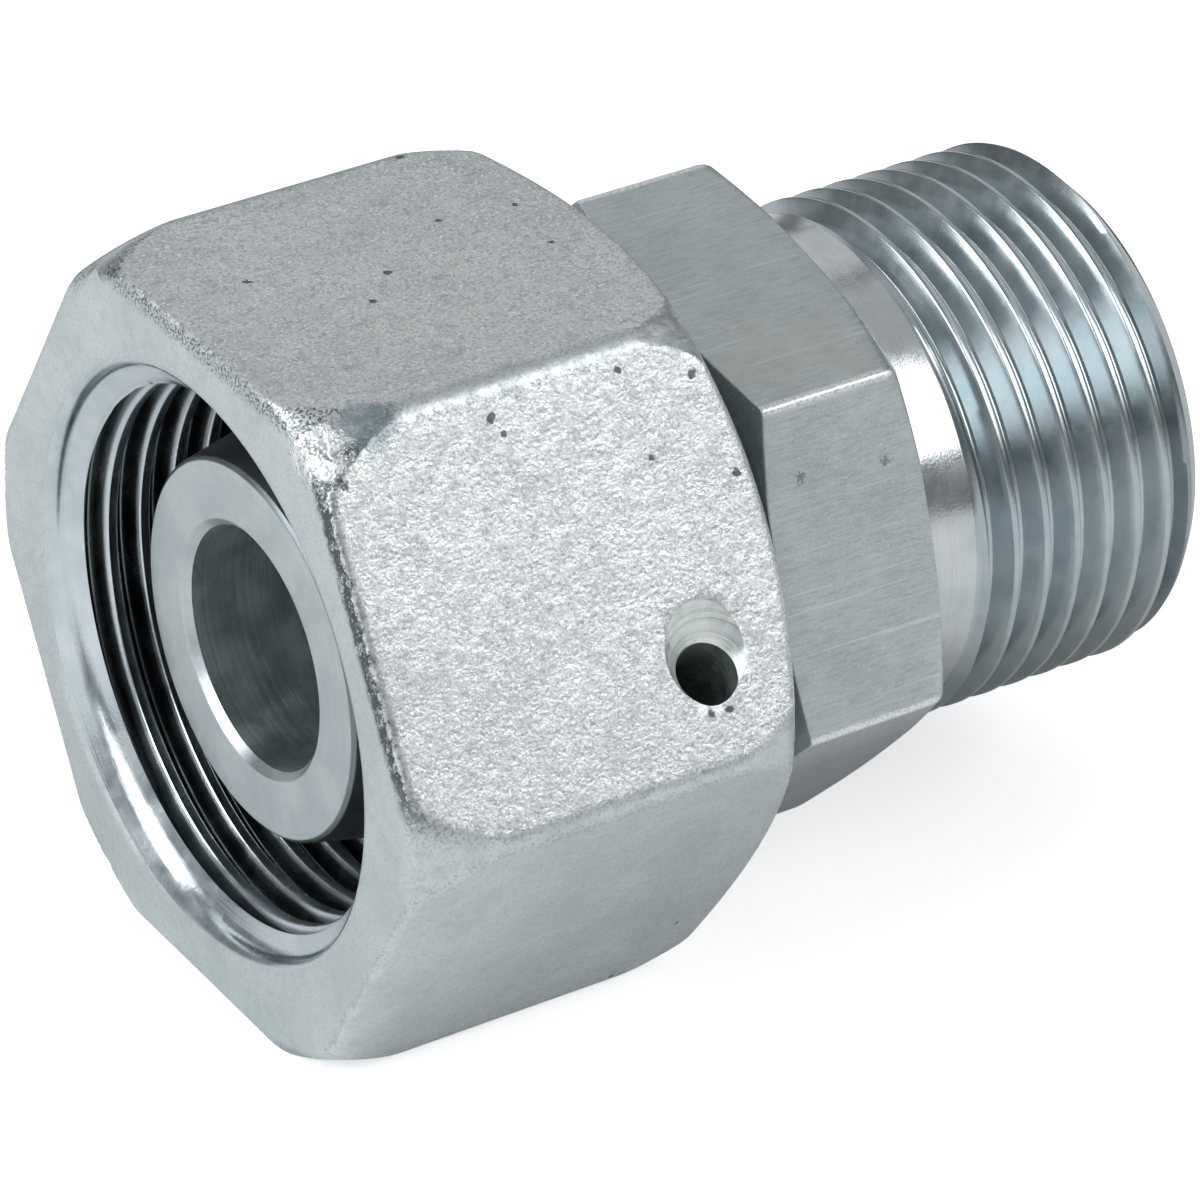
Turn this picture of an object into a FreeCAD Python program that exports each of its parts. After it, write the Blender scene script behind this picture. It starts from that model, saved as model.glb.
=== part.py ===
"""Reducer fitting with a wire-held swivel nut.

A turned body joins two tube sizes. Its thick end is a 24 degree cone nose with
a soft ring, over which a hexagon nut swivels, held by a round wire that lies in
matching grooves. Its thin end is a threaded stud with a socket for the tube.

Lengths are in millimetres and angles in degrees. The fitting's axis is X. The
origin is on the axis at the stop in the tube socket, +X leaves the stud, and
the nut lies on one of its flats with +Z up.
"""
import FreeCAD
import Part
import os
import Sketcher
from FreeCAD import Placement, Rotation, Vector

SIZES = {
    # stud for the thin tube
    "tube_diameter": 14.0,
    "tube_clearance": 0.1,
    "socket_depth": 8.3,
    "socket_cone_length": 5.17,
    "cone_half_angle": 12.0,
    "flow_bore_diameter": 10.2,
    "stud_length": 14.2,
    "stud_thread_diameter": 22.0,
    "stud_chamfer": 0.9,
    "stud_relief_length": 3.0,
    "stud_relief_depth": 1.15,
    "stud_relief_flank": 45.0,
    # hexagon of the body
    "body_hex_width": 24.0,
    "body_hex_length": 7.3,
    "body_hex_turn": 12.27,
    "body_hex_face_lip": 0.25,
    "body_hex_chamfer": 15.0,
    # collar and cone nose
    "collar_diameter": 19.9,
    "nose_length": 17.4,
    "nose_cone_length": 9.41,
    "nose_edge": 0.15,
    "nose_bore_edge": 0.25,
    # soft ring on the nose
    "ring_section": 2.0,
    "ring_place": 4.0,
    "ring_stand_out": 0.2,
    "ring_clearance": 0.05,
    "ring_groove_width": 2.6,
    # wire that holds the nut
    "wire_diameter": 2.4,
    "wire_clearance": 0.1,
    "wire_set_back": 5.32,
    "wire_wrap": 335.0,
    "wire_hole_clearance": 0.08,
    "wire_hole_lean": 21.0,
    "wire_hole_sink": 1.6,
    "wire_hole_sink_angle": 45.0,
    # swivel nut, its walls counted from the running bore over the collar
    "running_clearance": 0.08,
    "nut_wall": 4.97,
    "nut_wire_place": 14.38,
    "nut_rear_land": 3.92,
    "nut_wire_land": 0.8,
    "nut_edge_radius": 1.0,
    "nut_crown_radius": 15.5,
    "nut_crown_length": 6.0,
    "nut_front_edge": 0.25,
    "nut_front_edge_angle": 45.0,
    "nut_rear_edge": 1.1,
    "nut_rear_edge_angle": 30.0,
    "nut_thread_step": 1.158,
    "nut_mouth_chamfer": 1.1,
    "nut_mouth_angle": 54.0,
    "nut_relief_length": 1.4,
    "nut_relief_depth": 1.0,
}

# The flat with the wire hole faces the front and up.
HOLE_FLAT = 150
# A cut starts this far outside the solid it takes from.
OVER = 1.0

doc = FreeCAD.newDocument("reducer_fitting")
sheet = doc.addObject("Spreadsheet::Sheet", "Sizes")
for row, (size_name, size) in enumerate(SIZES.items(), start=1):
    sheet.set(f"A{row}", size_name)
    sheet.set(f"B{row}", str(size))
    sheet.setAlias(f"B{row}", size_name)
doc.recompute()


def of(size_name):
    """The expression that reads one size from the sheet."""
    return f"Sizes.{size_name}"


def number(expression):
    """The present value of an expression."""
    found = sheet.evalExpression(str(expression).replace("Sizes.", ""))
    return float(getattr(found, "Value", found))


# Places along the axis, from the tube stop, and the radii that pieces share.
STUD_FACE = of("socket_depth")
HEX_REAR = f"({STUD_FACE} - {of('stud_length')})"
HEX_FRONT = f"({HEX_REAR} - {of('body_hex_length')})"
NOSE_FACE = f"({HEX_FRONT} - {of('nose_length')})"
WIRE_PLACE = f"({HEX_FRONT} - {of('wire_set_back')})"
RING_PLACE = f"({NOSE_FACE} + {of('ring_place')})"
NUT_MOUTH = f"({WIRE_PLACE} - {of('nut_wire_place')})"

FLOW_R = f"({of('flow_bore_diameter')} / 2)"
SOCKET_R = f"(({of('tube_diameter')} + {of('tube_clearance')}) / 2)"
THREAD_R = f"({of('stud_thread_diameter')} / 2)"
STUD_RELIEF_R = f"({THREAD_R} - {of('stud_relief_depth')})"
COLLAR_R = f"({of('collar_diameter')} / 2)"
CONE_RISE = f"tan({of('cone_half_angle')})"
NOSE_R = f"({COLLAR_R} - {of('nose_cone_length')} * {CONE_RISE})"
RING_TOP_R = f"({NOSE_R} + {of('ring_place')} * {CONE_RISE} + {of('ring_stand_out')})"
RING_R = f"({RING_TOP_R} - {of('ring_section')} / 2)"
RING_FLOOR_R = f"({RING_TOP_R} - {of('ring_section')} - {of('ring_clearance')})"
NUT_BORE_R = f"({COLLAR_R} + {of('running_clearance')})"
NUT_FLAT_R = f"({NUT_BORE_R} + {of('nut_wall')})"
NUT_WIDTH = f"(2 * {NUT_FLAT_R})"
NUT_LENGTH = f"({of('nut_wire_place')} + {of('nut_rear_land')})"
WIRE_R = f"(({COLLAR_R} + {NUT_BORE_R}) / 2)"
WIRE_GROOVE = f"({of('wire_diameter')} / 2 + {of('wire_clearance')})"
WIRE_TURN = f"({HOLE_FLAT} + 90 - {of('wire_hole_lean')})"


def new_body(label):
    body = doc.addObject("PartDesign::Body", label)
    body.Label = label
    return body


def new_sketch(body, name, plane):
    """An empty sketch on one of the body's own origin planes."""
    sketch = body.newObject("Sketcher::SketchObject", name)
    support = [item for item in body.Origin.OriginFeatures if item.Role == plane][0]
    sketch.AttachmentSupport = [(support, "")]
    sketch.MapMode = "FlatFace"
    return sketch


def hold(sketch, kind, geometry, point, expression):
    """Holds one coordinate or radius of a sketch at the value of an expression."""
    if point is None:
        constraint = Sketcher.Constraint(kind, geometry, number(expression))
    else:
        constraint = Sketcher.Constraint(kind, geometry, point, number(expression))
    index = sketch.addConstraint(constraint)
    sketch.setExpression(f"Constraints[{index}]", str(expression))


def outline(body, name, corners, plane="XZ_Plane"):
    """A sketch of one closed line through corners given as pairs of expressions."""
    sketch = new_sketch(body, name, plane)
    points = [Vector(number(along), number(out), 0) for along, out in corners]
    count = len(points)
    for i in range(count):
        sketch.addGeometry(Part.LineSegment(points[i], points[(i + 1) % count]), False)
    for i, (along, out) in enumerate(corners):
        sketch.addConstraint(Sketcher.Constraint("Coincident", (i - 1) % count, 2, i, 1))
        hold(sketch, "DistanceX", i, 1, along)
        hold(sketch, "DistanceY", i, 1, out)
    return sketch


def circle(body, name, along, out, radius):
    """A sketch of one circle beside the axis."""
    sketch = new_sketch(body, name, "XZ_Plane")
    centre = Vector(number(along), number(out), 0)
    sketch.addGeometry(Part.Circle(centre, Vector(0, 0, 1), number(radius)), False)
    hold(sketch, "DistanceX", 0, 3, along)
    hold(sketch, "DistanceY", 0, 3, out)
    hold(sketch, "Radius", 0, None, radius)
    return sketch


def turned(body, kind, name, sketch, angle="360", axis="H_Axis"):
    """Turns a sketch about an axis, to add material or to take it away."""
    feature = body.newObject(kind, name)
    feature.Profile = sketch
    feature.ReferenceAxis = (sketch, [axis])
    feature.setExpression("Angle", angle)
    sketch.Visibility = False
    body.Tip = feature
    return feature


def hexagon(body, name, width, length, start, turn):
    """A hexagon bar along the axis, its first corner turned up from +Y."""
    reach = f"({width} / sqrt(3))"
    corners = [(f"{reach} * cos({turn} + {60 * k})", f"{reach} * sin({turn} + {60 * k})") for k in range(6)]
    sketch = outline(body, name + "_outline", corners, "YZ_Plane")
    sketch.setExpression("AttachmentOffset.Base.z", str(start))
    bar = body.newObject("PartDesign::Pad", name)
    bar.Profile = sketch
    bar.setExpression("Length", length)
    sketch.Visibility = False
    body.Tip = bar
    return bar


# Body: the turned blank, from the cone nose over the collar to the threaded stud.
fitting_body = new_body("fitting_body")
flank_run = f"{of('stud_relief_depth')} * tan({of('stud_relief_flank')})"
relief_end = f"({HEX_REAR} + {of('stud_relief_length')})"
blank = outline(fitting_body, "blank_outline", [
    (NOSE_FACE, "0"),
    (NOSE_FACE, f"{NOSE_R} - {of('nose_edge')}"),
    (f"{NOSE_FACE} + {of('nose_edge')}", f"{NOSE_R} + {of('nose_edge')} * {CONE_RISE}"),
    (f"{NOSE_FACE} + {of('nose_cone_length')}", COLLAR_R),
    (f"{HEX_FRONT} + {of('body_hex_length')} / 2", COLLAR_R),
    (f"{HEX_FRONT} + {of('body_hex_length')} / 2", STUD_RELIEF_R),
    (relief_end, STUD_RELIEF_R),
    (f"{relief_end} + {flank_run}", THREAD_R),
    (f"{STUD_FACE} - {of('stud_chamfer')}", THREAD_R),
    (STUD_FACE, f"{THREAD_R} - {of('stud_chamfer')}"),
    (STUD_FACE, "0"),
])
turned(fitting_body, "PartDesign::Revolution", "blank", blank)

# The hexagon that the spanner holds, with both faces turned to a slight cone.
hexagon(fitting_body, "spanner_hexagon", of("body_hex_width"), of("body_hex_length"), HEX_FRONT,
        of("body_hex_turn"))
hex_reach = f"({of('body_hex_width')} / sqrt(3) + {OVER})"
face_r = f"({of('body_hex_width')} / 2 + {of('body_hex_face_lip')})"
cone_run = f"({hex_reach} - {face_r}) * tan({of('body_hex_chamfer')})"
front_cone = outline(fitting_body, "hexagon_front_cone_outline", [
    (HEX_FRONT, face_r),
    (f"{HEX_FRONT} + {cone_run}", hex_reach),
    (f"{HEX_FRONT} - {OVER}", hex_reach),
    (f"{HEX_FRONT} - {OVER}", face_r),
])
turned(fitting_body, "PartDesign::Groove", "hexagon_front_cone", front_cone)
rear_cone = outline(fitting_body, "hexagon_rear_cone_outline", [
    (HEX_REAR, face_r),
    (f"{HEX_REAR} - {cone_run}", hex_reach),
    (f"{HEX_REAR} + {OVER}", hex_reach),
    (f"{HEX_REAR} + {OVER}", face_r),
])
turned(fitting_body, "PartDesign::Groove", "hexagon_rear_cone", rear_cone)

# The way through: flow bore, tube socket and the cone for the cutting ring.
mouth_r = f"({SOCKET_R} + {of('socket_cone_length')} * {CONE_RISE})"
way_through = outline(fitting_body, "way_through_outline", [
    (f"{NOSE_FACE} - {OVER}", "0"),
    (f"{NOSE_FACE} - {OVER}", f"{FLOW_R} + {of('nose_bore_edge')}"),
    (NOSE_FACE, f"{FLOW_R} + {of('nose_bore_edge')}"),
    (f"{NOSE_FACE} + {of('nose_bore_edge')}", FLOW_R),
    ("0", FLOW_R),
    ("0", SOCKET_R),
    (f"{STUD_FACE} - {of('socket_cone_length')}", SOCKET_R),
    (STUD_FACE, mouth_r),
    (f"{STUD_FACE} + {OVER}", mouth_r),
    (f"{STUD_FACE} + {OVER}", "0"),
])
turned(fitting_body, "PartDesign::Groove", "way_through", way_through)

# The groove for the soft ring, and the body's half of the wire groove.
ring_side = f"{of('ring_groove_width')} / 2"
ring_groove = outline(fitting_body, "ring_groove_outline", [
    (f"{RING_PLACE} - {ring_side}", RING_FLOOR_R),
    (f"{RING_PLACE} + {ring_side}", RING_FLOOR_R),
    (f"{RING_PLACE} + {ring_side}", f"{RING_TOP_R} + {OVER}"),
    (f"{RING_PLACE} - {ring_side}", f"{RING_TOP_R} + {OVER}"),
])
turned(fitting_body, "PartDesign::Groove", "ring_groove", ring_groove)
body_wire_circle = circle(fitting_body, "wire_groove_outline", WIRE_PLACE, WIRE_R, WIRE_GROOVE)
turned(fitting_body, "PartDesign::Groove", "wire_groove", body_wire_circle)

# Swivel nut, drawn from its mouth and placed so that its wire groove meets the body's.
swivel_nut = new_body("swivel_nut")
nut_bar = hexagon(swivel_nut, "nut_bar", NUT_WIDTH, NUT_LENGTH, "0", "0")
doc.recompute()
long_edges = []
for i, edge in enumerate(nut_bar.Shape.Edges, start=1):
    run = edge.Vertexes[-1].Point - edge.Vertexes[0].Point
    if abs(run.x) > 0.9 * edge.Length:
        long_edges.append(f"Edge{i}")
rounded = swivel_nut.newObject("PartDesign::Fillet", "nut_long_edges")
rounded.Base = (nut_bar, long_edges)
rounded.setExpression("Radius", of("nut_edge_radius"))
swivel_nut.Tip = rounded

nut_reach = f"({NUT_WIDTH} / sqrt(3))"


def crown(name, face, inward, edge, angle):
    """Turns the corners off one end of the nut: a long round with a short cone at the face."""
    reach_in = f"({of('nut_crown_length')} - {edge})"
    drop = f"({of('nut_crown_radius')} - sqrt({of('nut_crown_radius')}^2 - {reach_in}^2))"
    low = (f"{face} + ({inward}) * {edge}", f"{nut_reach} - {drop}")
    high = (f"{face} + ({inward}) * {of('nut_crown_length')}", nut_reach)
    face_radius = f"({low[1]} - {edge} / tan({angle}))"
    corners = [
        (face, face_radius),
        low,
        high,
        (high[0], f"{nut_reach} + {OVER}"),
        (f"{face} - ({inward}) * {OVER}", f"{nut_reach} + {OVER}"),
        (f"{face} - ({inward}) * {OVER}", face_radius),
    ]
    sketch = new_sketch(swivel_nut, name + "_outline", "XZ_Plane")
    points = [Vector(number(along), number(out), 0) for along, out in corners]
    middle = Vector(points[2].x, points[2].y - number(of("nut_crown_radius")), 0)
    ends = [points[2], points[1]] if inward == "1" else [points[1], points[2]]
    angles = [FreeCAD.Vector(1, 0, 0).getAngle(end - middle) for end in ends]
    round_part = Part.ArcOfCircle(Part.Circle(middle, Vector(0, 0, 1), number(of("nut_crown_radius"))),
                                  angles[0], angles[1])
    for i in range(6):
        line = Part.LineSegment(points[i], points[(i + 1) % 6])
        sketch.addGeometry(round_part if i == 1 else line, False)
    arc_start = 2 if inward == "1" else 1
    for i, (along, out) in enumerate(corners):
        before = 3 - arc_start if i == 2 else 2
        after = arc_start if i == 1 else 1
        sketch.addConstraint(Sketcher.Constraint("Coincident", (i - 1) % 6, before, i, after))
        hold(sketch, "DistanceX", i, after, along)
        hold(sketch, "DistanceY", i, after, out)
    hold(sketch, "Radius", 1, None, of("nut_crown_radius"))
    turned(swivel_nut, "PartDesign::Groove", name, sketch)


crown("front_crown", "0", "1", of("nut_front_edge"), of("nut_front_edge_angle"))
crown("rear_crown", NUT_LENGTH, "-1", of("nut_rear_edge"), of("nut_rear_edge_angle"))

# Inside: mouth, thread bore, relief, and the running bore over the collar.
nut_thread_r = f"({NUT_BORE_R} + {of('nut_thread_step')})"
nut_relief_r = f"({nut_thread_r} + {of('nut_relief_depth')})"
shoulder = f"({of('nut_wire_place')} - {WIRE_GROOVE} - {of('nut_wire_land')})"
mouth_out = f"({nut_thread_r} + {of('nut_mouth_chamfer')} * tan({of('nut_mouth_angle')}))"
nut_inside = outline(swivel_nut, "nut_inside_outline", [
    (f"-{OVER}", "0"),
    (f"-{OVER}", mouth_out),
    ("0", mouth_out),
    (of("nut_mouth_chamfer"), nut_thread_r),
    (f"{shoulder} - {of('nut_relief_length')}", nut_thread_r),
    (f"{shoulder} - {of('nut_relief_length')}", nut_relief_r),
    (shoulder, nut_relief_r),
    (shoulder, NUT_BORE_R),
    (f"{NUT_LENGTH} + {OVER}", NUT_BORE_R),
    (f"{NUT_LENGTH} + {OVER}", "0"),
])
turned(swivel_nut, "PartDesign::Groove", "nut_inside", nut_inside)
nut_wire_circle = circle(swivel_nut, "nut_wire_groove_outline", of("nut_wire_place"), WIRE_R, WIRE_GROOVE)
turned(swivel_nut, "PartDesign::Groove", "nut_wire_groove", nut_wire_circle)

# The hole that the wire is fed through meets the wire groove along a tangent and
# is countersunk where it opens on the flat.
hole_r = f"({of('wire_diameter')} / 2 + {of('wire_hole_clearance')})"
run_to_flat = (f"(({NUT_FLAT_R} - {WIRE_R} * sin({of('wire_hole_lean')}))"
               f" / cos({of('wire_hole_lean')}))")
sink_tip = f"({run_to_flat} - {of('wire_hole_sink')})"
sink_slope = f"tan({of('wire_hole_sink_angle')})"
hole_end = f"({run_to_flat} + 3 * {OVER})"
wire_hole = outline(swivel_nut, "wire_hole_outline", [
    (WIRE_R, "0"),
    (f"{WIRE_R} + {hole_r}", "0"),
    (f"{WIRE_R} + {hole_r}", f"-({sink_tip} + {hole_r} / {sink_slope})"),
    (f"{WIRE_R} + ({hole_end} - {sink_tip}) * {sink_slope}", f"-{hole_end}"),
    (WIRE_R, f"-{hole_end}"),
], "YZ_Plane")
wire_hole.AttachmentOffset = Placement(Vector(0, 0, 0), Rotation(Vector(0, 0, 1), number(WIRE_TURN)))
wire_hole.setExpression("AttachmentOffset.Base.z", of("nut_wire_place"))
wire_hole.setExpression("AttachmentOffset.Rotation.Angle", WIRE_TURN)
wire_hole.addGeometry(Part.LineSegment(Vector(number(WIRE_R), 0, 0), Vector(number(WIRE_R), -OVER, 0)), True)
wire_hole.addConstraint(Sketcher.Constraint("Coincident", 5, 1, 0, 1))
wire_hole.addConstraint(Sketcher.Constraint("Vertical", 5))
hold(wire_hole, "DistanceY", 5, 2, f"-{OVER}")
turned(swivel_nut, "PartDesign::Groove", "wire_hole", wire_hole, axis="Axis0")
swivel_nut.setExpression("Placement.Base.x", NUT_MOUTH)

# Soft ring in the nose groove.
o_ring = new_body("o_ring")
ring_circle = circle(o_ring, "ring_section_outline", RING_PLACE, RING_R, f"{of('ring_section')} / 2")
turned(o_ring, "PartDesign::Revolution", "ring", ring_circle)

# Round wire, bent into the nut's groove from the end of the feed hole on.
retaining_wire = new_body("retaining_wire")
wire_circle = circle(retaining_wire, "wire_section_outline", "0", WIRE_R, f"{of('wire_diameter')} / 2")
turned(retaining_wire, "PartDesign::Revolution", "bent_wire", wire_circle, angle=of("wire_wrap"))
retaining_wire.Placement = Placement(Vector(0, 0, 0), Rotation(Vector(1, 0, 0), number(WIRE_TURN) - 90))
retaining_wire.setExpression("Placement.Base.x", WIRE_PLACE)
retaining_wire.setExpression("Placement.Rotation.Angle", f"{WIRE_TURN} - 90")

doc.recompute()
for item in doc.Objects:
    if "Invalid" in item.State or "Error" in item.State:
        raise RuntimeError(f"{item.Name} failed: {item.State}")
    if item.TypeId == "PartDesign::Groove" and item.Shape.Volume > item.BaseFeature.Shape.Volume - 0.01:
        raise RuntimeError(f"{item.Name} takes nothing away")

os.makedirs("parts", exist_ok=True)
for body in (fitting_body, swivel_nut, o_ring, retaining_wire):
    shape = body.Shape
    if shape.isNull() or not shape.isValid() or len(shape.Solids) != 1:
        raise RuntimeError(f"{body.Label} isn't one good solid")
    shape.exportStep(f"parts/{body.Label}.step")
    print(body.Label, round(shape.Volume, 1), shape.BoundBox)
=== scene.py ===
import functools
import math

import bmesh
import bpy
import numpy as np
from mathutils import Matrix, Vector


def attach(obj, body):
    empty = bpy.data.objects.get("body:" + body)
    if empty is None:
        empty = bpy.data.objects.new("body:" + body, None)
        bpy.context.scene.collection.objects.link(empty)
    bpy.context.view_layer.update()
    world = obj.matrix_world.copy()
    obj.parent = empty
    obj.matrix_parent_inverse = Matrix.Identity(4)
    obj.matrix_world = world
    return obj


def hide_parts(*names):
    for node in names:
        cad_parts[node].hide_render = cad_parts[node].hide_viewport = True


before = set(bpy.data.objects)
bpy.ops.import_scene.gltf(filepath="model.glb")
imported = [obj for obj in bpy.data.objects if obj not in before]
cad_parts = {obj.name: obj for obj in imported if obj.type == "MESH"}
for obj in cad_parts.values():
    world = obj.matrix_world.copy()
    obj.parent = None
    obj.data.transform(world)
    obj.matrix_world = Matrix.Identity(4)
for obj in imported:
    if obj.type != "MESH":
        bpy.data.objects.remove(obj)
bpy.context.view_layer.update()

MM = 0.001
TAN = {d: math.tan(math.radians(d)) for d in (12, 15, 30)}

# ---------------------------------------------------------------- measures, mm
# Places along the axis are counted from the tube stop, positive out of the stud.
PITCH = 1.5

# Body: nose, ring groove, cone, collar and wire groove.
NOSE_FACE, NOSE_R, NOSE_CORNER = -30.6, 7.8, 0.15
FLOW_R, BORE_EDGE = 5.1, 0.34
RING_FRONT, RING_REAR, RING_R = -27.9, -25.3, 6.95
CONE_END, COLLAR_R = -21.19, 9.95
WIRE_X, WIRE_R, WIRE_GROOVE = -18.52, 9.99, 1.3

# Body: hexagon, relief, stud and tube socket.
HEX_FRONT, HEX_REAR = -13.2, -5.9
HEX_FLAT, HEX_TURN, HEX_FILLET, HEX_FACE_R = 12.0, 12.27, 0.2, 12.25
RELIEF_R, RELIEF_END, RELIEF_ROUND = 10.6, -2.9, 0.15
STUD_FACE, STUD_R, STUD_FACE_R = 8.3, 11.0, 10.02
CONE_MOUTH_R, SOCKET_CONE, SOCKET_R = 8.149, 3.13, 7.05

# Nut: outside.
NUT_MOUTH, NUT_REAR = -32.9, -14.6
NUT_LENGTH = NUT_REAR - NUT_MOUTH
NUT_FLAT, NUT_FILLET = 15.0, 1.0
CROWN_R, CROWN_LENGTH = 15.5, 6.0
REACH = NUT_FLAT / math.cos(math.radians(30))
FRONT_CONE, REAR_CONE = (0.25, 45), (1.1, 30)       # length of the short cone, and its angle
FRONT_FACE_R, REAR_FACE_R = 14.2, 14.1

# Nut: inside. Depths are counted from the mouth.
MOUTH_DEPTH, MOUTH_R = 1.25, 11.4
NUT_BORE_R, NUT_RELIEF_R, RUNNING_R = 11.188, 12.188, 10.03
THREAD_DEPTH, SHOULDER_DEPTH = 10.88, 12.28

# The hole for the wire touches the wire's circle at HOLE_ANGLE, and leans by
# HOLE_LEAN against the flat in which it opens.
HOLE_ANGLE, HOLE_LEAN, HOLE_R = 219, 21, 1.28
HOLE_SHIFT = Vector((-0.42, 0.19, 0.33))
SINK_DEPTH, SINK_R = 1.6, 4.6


# ------------------------------------------------------------- mesh in columns
def angles(step, corners, near):
    """Column angles in degrees: even steps, and closer ones around each corner."""
    found = set()
    for corner in corners:
        offsets = sorted(set([0.0] + [s * d for d in near for s in (-1, 1)]))
        found.update(round((corner + d) % 360, 4) for d in offsets)
        inner = max(near)
        gap = 60 - 2 * inner
        count = max(1, round(gap / step))
        found.update(round((corner + inner + gap * k / count) % 360, 4) for k in range(count + 1))
    return np.radians(np.array(sorted(found)))


def hex_radius(theta, half, turn, fillet):
    """Distance from the axis to a hexagon with rounded corners."""
    d = np.mod(np.degrees(theta) - turn + 30, 60) - 30      # from the nearest corner
    flat = half / np.cos(np.radians(30 - np.abs(d)))
    c = (half - fillet) / math.cos(math.radians(30))
    s = c * np.sin(np.radians(d))
    tangent = 30 - math.degrees(math.atan((half - fillet) * TAN[30] / half))
    round_part = c * np.cos(np.radians(d)) + np.sqrt(np.maximum(fillet ** 2 - s ** 2, 0))
    return np.where(np.abs(d) < tangent, round_part, flat)


class Shell:
    """Collects patches of rings and columns, and welds them into one closed mesh."""

    def __init__(self, theta):
        self.theta = theta
        self.points, self.faces, self.marks = [], [], []
        self.count = 0

    def patch(self, x, r, mark, turns_on=0):
        """Adds rings. x and r are arrays of rings by columns. turns_on is how many
        rings a line has moved on after one turn."""
        x, r = np.broadcast_arrays(x, r)
        rings, columns = x.shape
        grid = np.stack([x, r * np.cos(self.theta), r * np.sin(self.theta)], -1)
        index = np.arange(rings * columns).reshape(rings, columns) + self.count
        self.points.append(grid.reshape(-1, 3))
        self.count += rings * columns
        a, b = index[:-1, :-1], index[:-1, 1:]
        c, d = index[1:, 1:], index[1:, :-1]
        self.faces.append(np.stack([a, b, c, d], -1).reshape(-1, 4))
        keep = rings - turns_on
        last, first = index[:keep, -1], index[turns_on:, 0]
        self.faces.append(np.stack([last[:-1], first[:-1], first[1:], last[1:]], -1))
        self.marks += [mark] * (len(self.faces[-2]) + len(self.faces[-1]))

    def mesh(self, name):
        points = np.concatenate(self.points) * MM
        faces = np.concatenate(self.faces)
        mesh = bpy.data.meshes.new(name)
        mesh.from_pydata(points.tolist(), [], faces.tolist())
        mesh.polygons.foreach_set("material_index", np.array(self.marks, np.int32))
        work = bmesh.new()
        work.from_mesh(mesh)
        bmesh.ops.remove_doubles(work, verts=work.verts, dist=1e-6)
        bmesh.ops.dissolve_degenerate(work, dist=1e-7, edges=work.edges)
        bmesh.ops.recalc_face_normals(work, faces=work.faces)
        work.to_mesh(mesh)
        work.free()
        shade_smooth(mesh)
        return mesh


def shade_smooth(mesh):
    """Smooth shading, with edges of more than 32 degrees kept sharp."""
    mesh.polygons.foreach_set("use_smooth", [True] * len(mesh.polygons))
    mesh.set_sharp_from_angle(angle=math.radians(32))


def bend(p0, p1, p2, count=4):
    """Rings of a small round from p0 to p2 with its corner at p1, each (x, r)."""
    rings = []
    for k in range(count + 1):
        t = k / count
        rings.append(tuple((1 - t) ** 2 * np.asarray(u, float) + 2 * t * (1 - t) * np.asarray(v, float)
                           + t * t * np.asarray(w, float) for u, v, w in zip(p0, p1, p2)))
    return rings


def rings_of(points, columns):
    x = np.array([np.broadcast_to(np.asarray(p[0], float), columns) for p in points])
    r = np.array([np.broadcast_to(np.asarray(p[1], float), columns) for p in points])
    return x, r


def rounded(points, size, steps=3):
    """A turned outline with each inner corner rounded a little."""
    out = [points[0]]
    for i in range(1, len(points) - 1):
        p0, p1, p2 = (np.array(points[i + k], float) for k in (-1, 0, 1))
        back, on = p0 - p1, p2 - p1
        lb, lo = np.linalg.norm(back), np.linalg.norm(on)
        e = min(size, 0.45 * lb, 0.45 * lo)
        out += [tuple(q) for q in bend(p1 + back / lb * e, p1, p1 + on / lo * e, steps)]
    out.append(points[-1])
    return out


def spread(points, longest):
    """The same outline, with no step longer than the given length."""
    out = [points[0]]
    for p, q in zip(points, points[1:]):
        n = max(1, math.ceil(math.dist(p, q) / longest))
        out += [(p[0] + (q[0] - p[0]) * k / n, p[1] + (q[1] - p[1]) * k / n) for k in range(1, n + 1)]
    return out


def arc_points(radius, start, end, count):
    """Points of an arc around the wire's place."""
    turns = [math.radians(start + (end - start) * k / count) for k in range(count + 1)]
    return [(WIRE_X + radius * math.cos(a), WIRE_R + radius * math.sin(a)) for a in turns]


# --------------------------------------------------------------------- threads
def thread_form(half_crest, root_radius, depth, lip):
    """One pitch of a 60 degree thread, from the middle of its crest: phases and
    depths. The lip is the depth of the crest's middle."""
    slope = PITCH * math.tan(math.radians(60))
    start = half_crest / PITCH
    edge = 0.058
    centre = depth - root_radius
    tangent_depth = centre + root_radius * 0.5
    half = [(0.0, lip), (start - 0.030, 0.004), (start - 0.012, 0.0), (start + 0.006, 0.016), (start + 0.026, edge)]
    for part in (0.35, 0.7):
        d = edge + (tangent_depth - edge) * part
        half.append((start + d / slope, d))
    half.append((start + tangent_depth / slope, tangent_depth))
    for a in (math.radians(40), math.radians(20)):
        half.append((0.5 - root_radius * math.sin(a) / PITCH, centre + root_radius * math.cos(a)))
    half.append((0.5, depth))
    whole = half + [(1 - u, d) for u, d in reversed(half[1:-1])]
    return [u for u, _ in whole], [d for _, d in whole]


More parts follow.
